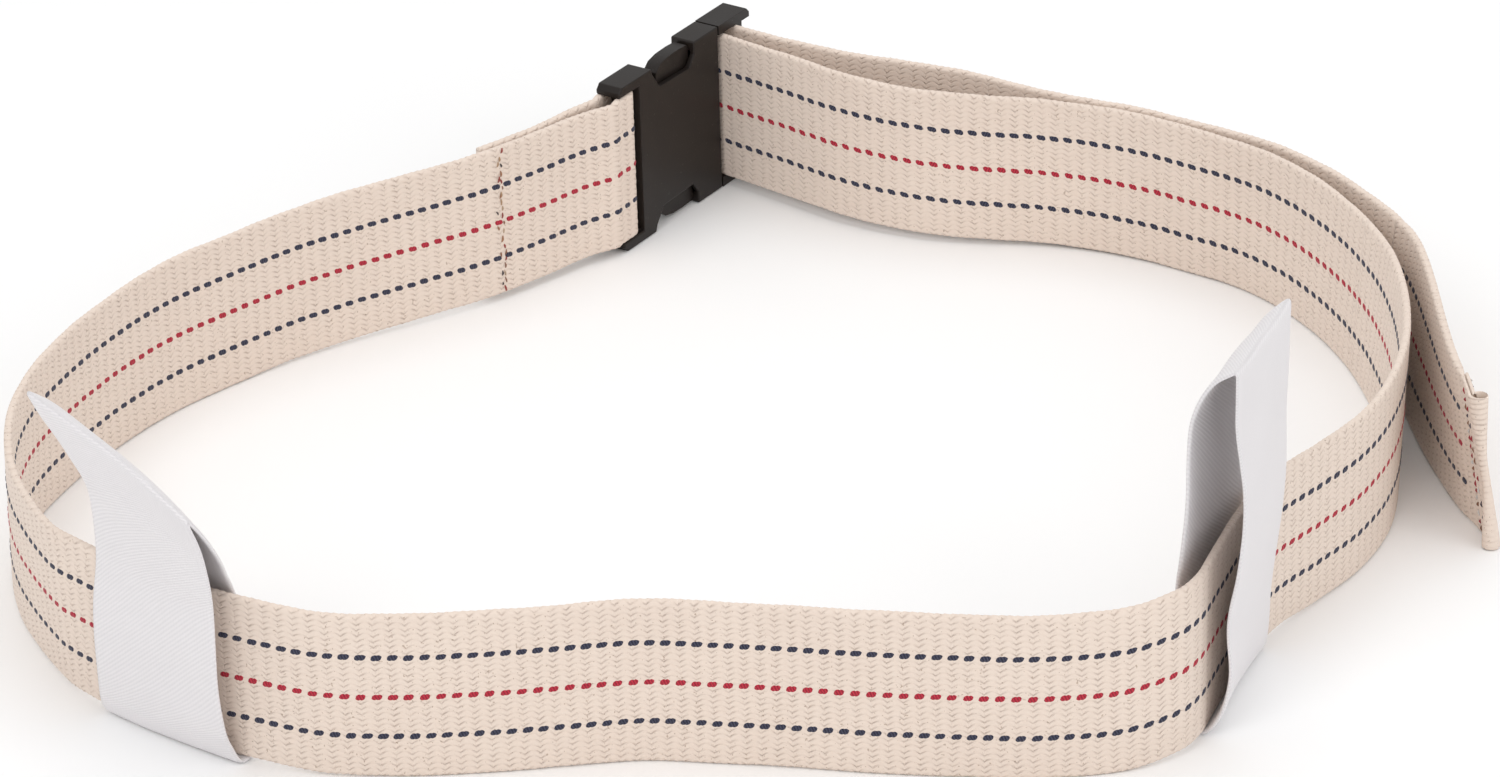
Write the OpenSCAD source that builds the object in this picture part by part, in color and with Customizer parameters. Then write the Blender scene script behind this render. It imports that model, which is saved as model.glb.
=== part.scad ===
// Gait (transfer) belt: a loop of flat cotton webbing closed by a
// side-release buckle, with two white webbing hand loops round the front
// and the adjusted free end hanging outside the right-hand side.
// Millimetres, +Z up. The belt stands on its lower edge on z = 0 and the
// origin is the middle of its outline on that plane. +X is to the wearer's
// side, the buckle is at the back (+Y) and the hand loops are at the front.

/* [Belt webbing] */
// Width of the belt webbing
belt_w = 50; // [49:0.5:51]
// Thickness of the belt webbing
belt_t = 2.4; // [2:0.1:2.6]

/* [Hand loops] */
// Width of the hand loop webbing
loop_w = 50; // [46:1:52]
// Thickness of the hand loop webbing
loop_t = 1.3; // [1:0.1:1.4]
// Gap between the belt and a hand loop that is wrapped round it
loop_gap = 0.3; // [0.3:0.05:0.5]

/* [Buckle] */
// Height of the buckle across the webbing
buckle_h = 57; // [57:0.5:60]
// Thickness of the buckle
buckle_t = 9; // [9:0.5:11]
// Length of the socket half
socket_l = 56; // [56:0.1:56.2]
// Overall length of the closed buckle
buckle_l = 74; // [74:0.5:76]
// Thickness of the plug inside the socket
plug_t = 4.8; // [4.4:0.1:4.8]
// Gap on each side of the plug in the socket
plug_gap = 0.3; // [0.3:0.05:0.4]

/* [Stitching] */
// Thread thickness
thread_d = 0.9; // [0.7:0.1:1]
// Length of one stitch
stitch_l = 2.6; // [2:0.1:3]

/* [Hidden] */
$fn = 32;

cotton = [0.86, 0.78, 0.68];
white_web = [0.90, 0.89, 0.91];
black_acetal = [0.10, 0.09, 0.09];
thread_col = [0.55, 0.38, 0.28];
thread_red = [0.55, 0.12, 0.15];
thread_white = [0.92, 0.91, 0.90];

// buckle frame: x along the buckle from the sewn end, y outwards, z up
buckle_at = [-40, 132];
buckle_turn = 56;
hb = buckle_t / 2;
band0 = (buckle_h - belt_w) / 2;          // lowest webbing edge inside the buckle
rail = band0 - 0.2;                       // rail height above and below the webbing
bar_x = 5.5;                              // sewn-end bar
bar_r = 2.1;
adj_x = 62.7;                             // adjuster bar
adj_r = 1.9;
adj_c = adj_r + 0.3 + belt_t / 2;         // wrap's middle radius
win0 = 21.5;                              // side windows
win1 = 42;
hinge_x = 53;                             // root of each latch arm
hinge_z = 48.5;

// Route points: x, y, height of the lower edge, outward lean of the upper edge
left_pts = [[-38.6, 127.8, 3, 0], [-49, 121.5, 2.8, 0], [-62, 110.5, 2.4, 0], [-78, 98, 2, 0], [-97, 87, 1.5, 0],
            [-117, 76, 1, 0], [-137, 63, 0.5, 0], [-156, 47, 0, 0], [-173, 30, 0, 0]];
lbend_pts = [[-173, 30, 0, 0], [-188, 8, 0, -1], [-200, -16, 0, -2], [-208, -40, 0, -3], [-210, -66, 0, -2],
             [-205, -96, 0, 0], [-192, -127.5, 0.8, 2]];
front_pts = [[-192, -127.5, 0.8, 2], [-182, -141, 1.5, 1], [-168, -154, 1.5, 0], [-152, -166, 1.5, 0],
             [-135, -175.5, 1.5, 0], [-116, -182.5, 0.5, 0], [-95, -184.5, 0, 0], [-73, -184, 0, 0], [-51, -182, 0, 0],
             [-30, -180, 0, 0], [-10, -182.5, 0, 0], [12, -186, 0, 0], [33, -190, 0, 0], [55, -193, 0, 0],
             [76, -195, 0, 0], [98, -193, 0, 0], [112, -187.5, 1.2, 0], [120, -179, 1.5, 0], [127, -162, 1.5, 0],
             [135, -142, 1.5, 0], [146, -122, 1.5, 0]];
rbend_pts = [[146, -122, 1.5, 0], [160, -104.5, 0.5, 0], [173.5, -87, 0, 0], [184, -66, 0, 0], [190.5, -40, 0, 2],
             [192.5, -12, 0, 4], [191, 14, 0, 5], [187, 35, 0, 4]];
right_pts = [[187, 35, 0, 4], [181.5, 52, 0, 3], [174.5, 67.5, 0, 2], [166, 81.5, 0, 1], [155, 94, 0, 0],
             [141, 105, 0, 0], [127, 114.5, 0.3, 0], [111.5, 122, 0.6, 0], [95, 127, 1, 0], [78, 129.5, 1.5, 0],
             [62, 133, 2, 0], [46.5, 139.5, 2.4, 0], [32, 148.5, 2.8, 0], [18.5, 160, 3, 0], [7, 170, 3, 0],
             [-1.7, 177.5, 3, 0]];
tail_pts = [[2.5, 183.5, 3, 0], [14, 175.5, 3, 0], [27, 167.5, 3, 0], [40, 161, 2.8, 0], [55, 155, 2.4, 0],
            [70, 149, 2, 0], [85, 141, 1.4, 0], [98.5, 133, 0.8, 0], [113, 126, 0.5, 0], [128.5, 118.5, 0.3, 0],
            [143.5, 109, 0, 0], [158, 98.5, 0, 0], [170, 87, 0, 0], [180.5, 72, 0, -2], [189, 54, 0, -4],
            [195.5, 36, 0, -6]];
tail_end_pts = [[196, 35.2, 0, -6], [198.5, 25, 0, -6], [200.5, 10, 0, -5], [202, -12, 0, -3], [203.5, -32, 0, 0],
                [205.5, -50, 0, 3], [208, -64, 0, 6], [210, -76, 0, 9]];
outer_pts = [[-44.3, 131.6, 3, 0], [-53.5, 123.5, 2.8, 0], [-65, 112.5, 2.4, 0], [-80, 100.7, 2, 0]];

// point on the smooth curve through p, q of span b to c
function cr(a, b, c, d, t) = 0.5 * (2 * b + (c - a) * t + (2 * a - 5 * b + 4 * c - d) * t * t
                                    + (3 * b - a - 3 * c + d) * t * t * t);
function smooth(p, n) = let (m = len(p) - 1)
    [for (i = [0:m - 1], k = [0:n - 1])
        cr(i == 0 ? 2 * p[0] - p[1] : p[i - 1], p[i], p[i + 1], i == m - 1 ? 2 * p[m] - p[m - 1] : p[i + 2], k / n),
     p[m]];
// unit vector to the right of travel at station i
function side(c, i) = let (a = c[max(i - 1, 0)], b = c[min(i + 1, len(c) - 1)],
                           dx = b[0] - a[0], dy = b[1] - a[1], l = sqrt(dx * dx + dy * dy)) [dy / l, -dx / l];
function part_of(c, i0, i1) = [for (i = [i0:i1]) c[i]];

// Sweep a closed section (offset to the right, height) along stations of a route
module sweep(c, sec) {
    m = len(sec);
    n = len(c);
    pts = [for (i = [0:n - 1], k = [0:m - 1]) let (s = side(c, i), o = sec[k][0] + c[i][3] * (sec[k][1] / belt_w - 0.5))
        [c[i][0] + s[0] * o, c[i][1] + s[1] * o, c[i][2] + sec[k][1]]];
    faces = concat([[for (k = [0:m - 1]) k]],
        [for (i = [0:n - 2], k = [0:m - 1], h = [0:1]) let (a = i * m + k, b = i * m + (k + 1) % m)
            h == 0 ? [a, a + m, b + m] : [a, b + m, b]],
        [[for (k = [m - 1:-1:0]) (n - 1) * m + k]]);
    polyhedron(points = pts, faces = faces, convexity = 6);
}
band = [[-belt_t / 2, 0], [-belt_t / 2, belt_w], [belt_t / 2, belt_w], [belt_t / 2, 0]];
module webbing(p, n = 4) { color(cotton) sweep(smooth(p, n), band); }

module in_buckle() { translate([buckle_at[0], buckle_at[1], 0]) rotate([0, 0, buckle_turn]) children(); }
module box(x0, x1, y0, y1, z0, z1) { translate([x0, y0, z0]) cube([x1 - x0, y1 - y0, z1 - z0]); }

// trapezoid notch over a side window, cut through both face plates
module notch() {
    rotate([90, 0, 0]) translate([0, 0, -hb - 1]) linear_extrude(buckle_t + 2)
        polygon([[17.5, buckle_h + 1], [18.6, buckle_h - 2.2], [22.5, buckle_h - 7.6], [39.2, buckle_h - 8],
                 [win1, buckle_h - 4.4], [win1, buckle_h + 1]]);
}
module mirror_z() { children(); translate([0, 0, buckle_h]) mirror([0, 0, 1]) children(); }

// socket half: bar for the sewn end, hollow body, windows for the latch pads
module buckle_socket() {
    color(black_acetal) in_buckle() {
        difference() {
            rotate([90, 0, 0]) translate([0, 0, -hb]) linear_extrude(buckle_t)
                polygon([[1.4, 0], [16.6, 0], [socket_l, 0], [socket_l, buckle_h], [16.6, buckle_h],
                         [1.4, buckle_h], [0, buckle_h - 1.6], [0, 1.6]]);
            box(-1, 11, -hb - 1, hb + 1, rail, buckle_h - rail);
            box(13.5, socket_l + 1, -plug_t / 2 - plug_gap, plug_t / 2 + plug_gap, 3.5, buckle_h - 3.5);
            mirror_z() box(win0, win1, -plug_t / 2 - plug_gap, plug_t / 2 + plug_gap, buckle_h - 6, buckle_h + 1);
            mirror_z() notch();
        }
        translate([bar_x, 0, rail - 1]) cylinder(r = bar_r, h = buckle_h - 2 * rail + 2);
    }
}

// plug half: shoulder, centre tongue, adjuster bar and end bar between two rails
module plug_frame() {
    color(black_acetal) in_buckle() {
        difference() {
            rotate([90, 0, 0]) translate([0, 0, -hb]) linear_extrude(buckle_t)
                polygon([[socket_l + 0.3, 0], [buckle_l - 1.5, 0], [buckle_l, 1.5], [buckle_l, buckle_h - 1.5],
                         [buckle_l - 1.5, buckle_h], [socket_l + 0.3, buckle_h]]);
            box(socket_l - 1, buckle_l + 1, -hb - 1, hb + 1, rail, buckle_h - rail);
        }
        box(socket_l - 0.1, socket_l + 1.3, -plug_t / 2, plug_t / 2, 3.8, buckle_h - 3.8);
        mirror_z() box(socket_l + 0.3, socket_l + 1.3, -plug_t / 2, plug_t / 2, 2, 5);
        box(24, socket_l + 1, -plug_t / 2, plug_t / 2, buckle_h / 2 - 6, buckle_h / 2 + 6);
        translate([adj_x, 0, rail - 1]) cylinder(r = adj_r, h = buckle_h - 2 * rail + 2);
        box(68.6, buckle_l - 1.5, -2.6, 3.4, rail - 1, buckle_h - rail + 1);
        translate([buckle_l - 1.5, 0.4, rail - 1]) cylinder(r = 1.4, h = buckle_h - 2 * rail + 2);
    }
}

// one springy latch arm with its press pad, drawn at the top edge
module latch_arm() {
    rotate([90, 0, 0]) translate([0, 0, -plug_t / 2]) linear_extrude(plug_t) {
        translate([hinge_x, hinge_z]) circle(r = 2.5);
        polygon([[hinge_x, hinge_z - 2.5], [hinge_x, hinge_z + 2.5], [41.6, hinge_z + 2.5], [41.6, 55.2], [40.8, 56],
                 [36, 56.3], [30, 56.1], [26, 55.2], [23.4, 53], [22.8, 50.5], [24, 46.5], [28, 45.5], [44, 45.8]]);
    }
}
module latch_arm_upper() { color(black_acetal) in_buckle() latch_arm(); }
module latch_arm_lower() { color(black_acetal) in_buckle() translate([0, 0, buckle_h]) mirror([0, 0, 1]) latch_arm(); }

// webbing turned round a bar: half ring at x = 0 opening towards -x
module turned(r, leg) {
    linear_extrude(belt_w) {
        difference() {
            circle(r = r + belt_t / 2, $fn = 48);
            circle(r = r - belt_t / 2, $fn = 48);
            translate([-20, -20]) square([20, 40]);
        }
        translate([-leg, r - belt_t / 2]) square([leg, belt_t]);
        translate([-leg, -r - belt_t / 2]) square([leg, belt_t]);
    }
}
fold_r = bar_r + 0.2 + belt_t / 2;
module sewn_end_fold() { color(cotton) in_buckle() translate([bar_x, 0, band0]) turned(fold_r, 7.2); }
module sewn_end_outer_layer() { webbing(outer_pts, 5); }
module adjuster_wrap() { color(cotton) in_buckle() translate([adj_x, 0, band0]) rotate([0, 0, 90]) turned(adj_c, hb); }

module left_run() { webbing(left_pts); }
module left_bend() { webbing(lbend_pts, 5); }
module front_left_corner() { webbing(part_of(front_pts, 0, 5)); }
module front_run() { webbing(part_of(front_pts, 5, 15)); }
module front_right_corner() { webbing(part_of(front_pts, 15, 20)); }
module right_bend() { webbing(rbend_pts); }
module right_run() { webbing(right_pts); }
module tail_run() { webbing(tail_pts); }
module tail_end() { webbing(tail_end_pts, 5); }

// folded hem at the free end: a second layer on the outside of the tail
hem_path = part_of(smooth(tail_end_pts, 6), 34, 42);
module tail_hem() {
    color(cotton) sweep(hem_path, [[-belt_t / 2 - 0.1 - belt_t, 0.5], [-belt_t / 2 - 0.1 - belt_t, belt_w - 0.5],
                                   [-belt_t / 2 - 0.1, belt_w - 0.5], [-belt_t / 2 - 0.1, 0.5]]);
}

// A stitch lying on a webbing face beside station i of route c: o = distance of
// that face to the right of the centreline, z = height above the lower edge,
// s = size along, across and up, tilt = lean of the face in degrees
thread_gap = 0.1;
module stitch(c, i, o, z, s, tilt) {
    d = side(c, i);
    q = o + sign(o) * (thread_d / 2 + thread_gap) / cos(tilt) + c[i][3] * (z / belt_w - 0.5);
    translate([c[i][0] + d[0] * q, c[i][1] + d[1] * q, c[i][2] + z])
        rotate([0, 0, atan2(d[0], -d[1])]) rotate([tilt, 0, 0]) cube(s, center = true);
}
upright = [thread_d, thread_d, stitch_l];
// seam through the doubled sewn end, on its inner face
module sewn_end_stitching() {
    c = smooth(left_pts, 4);
    color(thread_col) for (k = [0:10]) stitch(c, 11, -belt_t / 2, 4 + k * 4.2, upright, 0);
}
// seam of the hem, on the tail's inner face
module tail_hem_stitching() {
    c = smooth(tail_end_pts, 6);
    color(thread_red) for (k = [0:9]) stitch(c, 35, belt_t / 2, 6 + k * 4.2, upright, atan(c[35][3] / belt_w));
}

// hand loops: a strip wrapped under the belt, and the standing loop above it
lh_path = part_of(smooth(front_pts, 8), 11, 31);
rh_path = part_of(smooth(front_pts, 8), 138, 157);
module handle_wrap(path, no, ni) {
    g = belt_t / 2 + loop_gap;
    color(white_web) sweep(path, [[g + loop_t, -1.5], [no + loop_t, 45.5], [no, 45.5], [g, -loop_gap], [-g, -loop_gap],
                                  [-ni, 45.5], [-ni - loop_t, 45.5], [-g - loop_t, -1.5]]);
}
module left_handle_wrap() { handle_wrap(lh_path, 5, 5); }
module right_handle_wrap() { handle_wrap(rh_path, 7.5, 7); }

// standing loop: closed section outlines at its two ends, across (n, z), joined
// in straight rulings; at = middle of the belt there, turn = direction along it
module grip(at, turn, ina, oua, inb, oub) {
    m = len(ina);
    ringa = concat(ina, [for (k = [m - 1:-1:0]) oua[k]]);
    ringb = concat(inb, [for (k = [m - 1:-1:0]) oub[k]]);
    q = 2 * m;
    s = 6;
    pts = [for (i = [0:s], k = [0:q - 1]) let (f = i / s, a = ringa[k], b = ringb[k])
        [-loop_w / 2 + loop_w * f, -(a[0] * (1 - f) + b[0] * f), a[1] * (1 - f) + b[1] * f]];
    faces = concat(
        [for (e = [0, s], k = [0:m - 2], h = [0:1]) let (a = e * q + k, b = e * q + q - 1 - k,
            t = h == 0 ? [a, b, b - 1] : [a, b - 1, a + 1]) e == 0 ? [t[2], t[1], t[0]] : t],
        [for (i = [0:s - 1], k = [0:q - 1], h = [0:1]) let (a = i * q + k, b = i * q + (k + 1) % q)
            h == 0 ? [a, a + q, b + q] : [a, b + q, b]]);
    color(white_web) translate([at[0], at[1], 0]) rotate([0, 0, turn])
        polyhedron(points = pts, faces = faces, convexity = 8);
}
// inner edge of a strip's section grown to the loop's thickness
function thick(p) = [for (i = [0:len(p) - 1]) let (a = p[max(i - 1, 0)], b = p[min(i + 1, len(p) - 1)],
    d = b - a, l = norm(d)) p[i] + loop_t * [-d[1], d[0]] / l];

// right loop: rises outwards to a nearly level fold
r_sec_a = [[-5.4, 57], [-4.4, 66], [-4, 80], [-3, 92], [2, 104], [9, 111.2], [10.4, 110], [10.6, 96], [11.4, 84], [12, 72], [11.2, 57]];
r_sec_b = [[-5.8, 57], [-5.6, 66], [-5.2, 80], [-4, 92], [0, 101], [5.6, 107.2], [7, 106], [7, 94], [6.6, 80], [6.8, 66], [6.4, 57]];
module right_handle_grip() { grip([131, -152], 65.8, r_sec_a, thick(r_sec_a), r_sec_b, thick(r_sec_b)); }
// left loop: lower at its right-hand end, drawn out to a point at the other
l_sec_a = [[-8, 57], [-7, 68], [-4, 80], [3, 92], [12, 102], [19, 107.5], [20.4, 106], [12, 92], [7.4, 82.5], [4, 72], [3.6, 57]];
l_sec_b = [[-3.5, 57], [-1.6, 59.5], [1, 63], [3.8, 68], [7, 74], [11.2, 80.2], [12.8, 79.4], [11.4, 74.5], [9.6, 69], [8.4, 63], [7.4, 57]];
module left_handle_grip() { grip([-158, -161], -39.8, l_sec_a, thick(l_sec_a), l_sec_b, thick(l_sec_b)); }

// thread that closes each hand loop, on the inner face of its leaning inner leg
module loop_stitches(path, ni) {
    g = belt_t / 2 + loop_gap;
    slope = (ni - g) / 47;
    color(thread_white) for (k = [0:6], z = [14, 26])
        stitch(path, 4 + 2 * k, -(g + loop_t + slope * (z + 1.5)), z, [stitch_l, thread_d, thread_d], -atan(slope));
}
module left_handle_stitching() { loop_stitches(lh_path, 5); }
module right_handle_stitching() { loop_stitches(rh_path, 7); }

buckle_socket();
plug_frame();
latch_arm_upper();
latch_arm_lower();
sewn_end_fold();
sewn_end_outer_layer();
sewn_end_stitching();
left_run();
left_bend();
front_left_corner();
front_run();
front_right_corner();
right_bend();
right_run();
adjuster_wrap();
tail_run();
tail_end();
tail_hem();
tail_hem_stitching();
left_handle_wrap();
left_handle_grip();
left_handle_stitching();
right_handle_wrap();
right_handle_grip();
right_handle_stitching();
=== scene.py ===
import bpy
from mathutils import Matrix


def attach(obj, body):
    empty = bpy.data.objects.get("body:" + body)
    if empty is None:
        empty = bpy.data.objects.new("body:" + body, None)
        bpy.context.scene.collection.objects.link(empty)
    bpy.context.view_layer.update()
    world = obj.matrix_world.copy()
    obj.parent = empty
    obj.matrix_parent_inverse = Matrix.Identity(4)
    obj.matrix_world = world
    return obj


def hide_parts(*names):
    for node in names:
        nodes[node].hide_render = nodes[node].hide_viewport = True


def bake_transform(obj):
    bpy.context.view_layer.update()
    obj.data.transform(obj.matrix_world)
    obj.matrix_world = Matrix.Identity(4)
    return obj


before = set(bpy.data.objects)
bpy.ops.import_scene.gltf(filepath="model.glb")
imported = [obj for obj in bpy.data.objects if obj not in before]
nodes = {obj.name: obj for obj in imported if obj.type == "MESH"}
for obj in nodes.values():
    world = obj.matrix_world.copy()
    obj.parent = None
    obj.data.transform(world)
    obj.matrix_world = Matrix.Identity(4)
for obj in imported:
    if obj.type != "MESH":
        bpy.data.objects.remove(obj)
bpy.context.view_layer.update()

import math
import bpy
import numpy as np
from mathutils import Matrix, Vector

scene = bpy.context.scene
PITCH = 4.32          # mm between dashes
W, T = 50.0, 2.4      # belt webbing, mm
STEP = PITCH / 6

# ------------------------------------------------------------------ camera
def make_camera():
    cam = bpy.data.cameras.new("camera")
    cam.sensor_width = 36.0
    cam.lens = 5899.0 / 1500.0 * 36.0
    cam.clip_start, cam.clip_end = 0.05, 20
    o = bpy.data.objects.new("camera", cam)
    scene.collection.objects.link(o)
    th, r = math.radians(27.71), math.radians(-1.63)
    right, down = Vector((1, 0, 0)), Vector((0, -math.sin(th), -math.cos(th)))
    fwd = Vector((0, math.cos(th), -math.sin(th)))
    eu = right * math.cos(r) - down * math.sin(r)
    ev = right * math.sin(r) + down * math.cos(r)
    m = Matrix((eu, -ev, -fwd)).transposed().to_4x4()
    m.translation = Vector((0.002, -1.551, 0.8328))
    o.matrix_world = m
    scene.camera = o
make_camera()

# ------------------------------------------------------------------ routes (mm): x, y, lower edge, lean
left_pts = [[-38.6, 127.8, 3, 0], [-49, 121.5, 2.8, 0], [-62, 110.5, 2.4, 0], [-78, 98, 2, 0], [-97, 87, 1.5, 0],
            [-117, 76, 1, 0], [-137, 63, 0.5, 0], [-156, 47, 0, 0], [-173, 30, 0, 0]]
lbend_pts = [[-173, 30, 0, 0], [-188, 8, 0, -1], [-200, -16, 0, -2], [-208, -40, 0, -3], [-210, -66, 0, -2],
             [-205, -96, 0, 0], [-192, -127.5, 0.8, 2]]
front_pts = [[-192, -127.5, 0.8, 2], [-182, -141, 1.5, 1], [-168, -154, 1.5, 0], [-152, -166, 1.5, 0],
             [-135, -175.5, 1.5, 0], [-116, -182.5, 0.5, 0], [-95, -184.5, 0, 0], [-73, -184, 0, 0], [-51, -182, 0, 0],
             [-30, -180, 0, 0], [-10, -182.5, 0, 0], [12, -186, 0, 0], [33, -190, 0, 0], [55, -193, 0, 0],
             [76, -195, 0, 0], [98, -193, 0, 0], [112, -187.5, 1.2, 0], [120, -179, 1.5, 0], [127, -162, 1.5, 0],
             [135, -142, 1.5, 0], [146, -122, 1.5, 0]]
rbend_pts = [[146, -122, 1.5, 0], [160, -104.5, 0.5, 0], [173.5, -87, 0, 0], [184, -66, 0, 0], [190.5, -40, 0, 2],
             [192.5, -12, 0, 4], [191, 14, 0, 5], [187, 35, 0, 4]]
right_pts = [[187, 35, 0, 4], [181.5, 52, 0, 3], [174.5, 67.5, 0, 2], [166, 81.5, 0, 1], [155, 94, 0, 0],
             [141, 105, 0, 0], [127, 114.5, 0.3, 0], [111.5, 122, 0.6, 0], [95, 127, 1, 0], [78, 129.5, 1.5, 0],
             [62, 133, 2, 0], [46.5, 139.5, 2.4, 0], [32, 148.5, 2.8, 0], [18.5, 160, 3, 0], [7, 170, 3, 0],
             [-1.7, 177.5, 3, 0]]
tail_pts = [[2.5, 183.5, 3, 0], [14, 175.5, 3, 0], [27, 167.5, 3, 0], [40, 161, 2.8, 0], [55, 155, 2.4, 0],
            [70, 149, 2, 0], [85, 141, 1.4, 0], [98.5, 133, 0.8, 0], [113, 126, 0.5, 0], [128.5, 118.5, 0.3, 0],
            [143.5, 109, 0, 0], [158, 98.5, 0, 0], [170, 87, 0, 0], [180.5, 72, 0, -2], [189, 54, 0, -4],
            [195.5, 36, 0, -6]]
tail_end_pts = [[196, 35.2, 0, -6], [198.5, 25, 0, -6], [200.5, 10, 0, -5], [202, -12, 0, -3], [203.5, -32, 0, 0],
                [205.5, -50, 0, 3], [208, -64, 0, 6], [210, -76, 0, 9]]
outer_pts = [[-44.3, 131.6, 3, 0], [-53.5, 123.5, 2.8, 0], [-65, 112.5, 2.4, 0], [-80, 100.7, 2, 0]]


def smooth(p, n):
    p = np.array(p, float)
    m = len(p) - 1
    out = []
    for i in range(m):
        a = 2 * p[0] - p[1] if i == 0 else p[i - 1]
        b, c = p[i], p[i + 1]
        d = 2 * p[m] - p[m - 1] if i == m - 1 else p[i + 2]
        for k in range(n):
            t = k / n
            out.append(0.5 * (2 * b + (c - a) * t + (2 * a - 5 * b + 4 * c - d) * t * t + (3 * b - a - 3 * c + d) * t ** 3))
    out.append(p[m])
    return np.array(out)


def even(c, step=STEP):
    """the same route at an even spacing"""
    s = np.r_[0, np.cumsum(np.hypot(*np.diff(c[:, :2], axis=0).T))]
    n = max(2, int(round(s[-1] / step)))
    q = np.linspace(0, s[-1], n + 1)
    return np.stack([np.interp(q, s, c[:, k]) for k in range(c.shape[1])], 1)


BA = math.radians(56)
BU, BN = np.array([math.cos(BA), math.sin(BA)]), np.array([-math.sin(BA), math.cos(BA)])
def bk(x, y, z=3.5):
    q = np.array([-40, 132]) + BU * x + BN * y
    return [q[0], q[1], z, 0]


def arc_pts(cx, cy, r, a0, a1, n=22):
    return [bk(cx + r * math.cos(math.radians(a)), cy + r * math.sin(math.radians(a))) for a in np.linspace(a0, a1, n)]


# the sewn end: outer layer up to the buckle, round its bar, and back as the belt itself
R_FOLD = 2.1 + 0.2 + T / 2
R_ADJ = 1.9 + 0.3 + T / 2
leg = [bk(x, R_FOLD) for x in np.arange(-1.0, 5.2, 0.8)]
fold = leg + arc_pts(5.5, 0, R_FOLD, 90, -90) + [bk(x, -R_FOLD) for x in np.arange(4.7, -1.2, -0.8)]
outer_in = even(smooth(outer_pts, 24))[::-1]
whole = even(smooth(left_pts + lbend_pts[1:] + front_pts[1:] + rbend_pts[1:] + right_pts[1:], 24))
cut = int(np.argmin(np.hypot(whole[:, 0] - 187, whole[:, 1] - 35)))
belt_c = np.vstack([outer_in, fold, whole[:cut + 1]])
# the adjusted end: to the buckle, round the adjuster bar, and back along the outside
wrap = arc_pts(62.7, 0, R_ADJ, 180, 0)
tail_all = even(smooth(tail_pts + tail_end_pts[1:], 24))
tcut = int(np.argmin(np.hypot(tail_all[:, 0] - 195.5, tail_all[:, 1] - 36)))
back_c = np.vstack([whole[cut:], wrap, tail_all[:tcut + 1]])


def frames(c):
    a, b = np.roll(c[:, :2], 1, 0), np.roll(c[:, :2], -1, 0)
    a[0], b[-1] = c[0, :2], c[-1, :2]
    d = b - a
    d /= np.linalg.norm(d, axis=1)[:, None]
    n = np.stack([d[:, 1], -d[:, 0]], 1)
    s = np.r_[0, np.cumsum(np.hypot(*np.diff(c[:, :2], axis=0).T))]
    return d, n, s


# hem: the tail's last 13 mm doubled back on its outer side
HEM_THIN = 0.5
def hem_route(c):
    d, n, s = frames(c)
    r = HEM_THIN * T / 2 + 0.05
    end = c[-1, :2] - n[-1] * r
    turn = []
    for a in np.linspace(0, math.pi, 13)[1:-1]:
        q = end + n[-1] * r * math.cos(a) + d[-1] * r * math.sin(a)
        turn.append([q[0], q[1], c[-1, 2], c[-1, 3] * math.cos(a)])
    keep = (s > s[-1] - 13) & (s < s[-1] - 0.2)
    back = np.column_stack([c[keep, :2] - n[keep] * 2 * r, c[keep, 2], -c[keep, 3]])[::-1]
    return np.vstack([c, turn, back])
end_c = hem_route(tail_all[tcut:])

# ------------------------------------------------------------------ mesh helpers
def mesh_object(name, verts, faces, attrs=None, smooth_shade=True):
    me = bpy.data.meshes.new(name)
    me.from_pydata((np.asarray(verts) / 1000.0).tolist(), [], faces)
    me.validate()
    me.update()
    for k, (kind, data) in (attrs or {}).items():
        at = me.attributes.new(k, kind, "POINT")
        key = "vector" if kind == "FLOAT_VECTOR" else "color" if kind == "FLOAT_COLOR" else "value"
        at.data.foreach_set(key, np.asarray(data, np.float32).ravel())
    if smooth_shade:
        me.polygons.foreach_set("use_smooth", [True] * len(me.polygons))
    o = bpy.data.objects.new(name, me)
    scene.collection.objects.link(o)
    return o


def wobble(s, seed):
    """slow hand-woven unevenness, in mm, from a few fixed waves"""
    r = np.random.RandomState(seed)
    return sum(a * np.sin(s * 2 * math.pi / l + r.uniform(0, 6.28)) for a, l in ((0.16, 61), (0.10, 27), (0.06, 11.3)))


def surface(c, d, n, o, z):
    """point at offset o to the right of the route and height z above its lower edge"""
    q = o + c[3] * (z / W - 0.5)
    return np.array([c[0] + n[0] * q, c[1] + n[1] * q, c[2] + z])


def profile():
    """webbing section: offsets and heights, closed, rounded selvedges"""
    half, rz = T / 2, 1.1
    face = np.linspace(rz, W - rz, 31)
    corner = [(half * math.cos(a) ** 0.75 if a < 1.57 else 0.0, rz * (1 - math.sin(a))) for a in np.linspace(0, math.pi / 2, 6)[1:]]
    right = [(half, z) for z in face]
    top = [(o, W - z) for o, z in corner]
    low = [(o, z) for o, z in corner]
    ring = right + top + [(-o, z) for o, z in top[-2::-1]] + [(-half, z) for z in face[::-1]] + [(-o, z) for o, z in low] + low[-2::-1]
    return np.array(ring)
PROF = profile()


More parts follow.
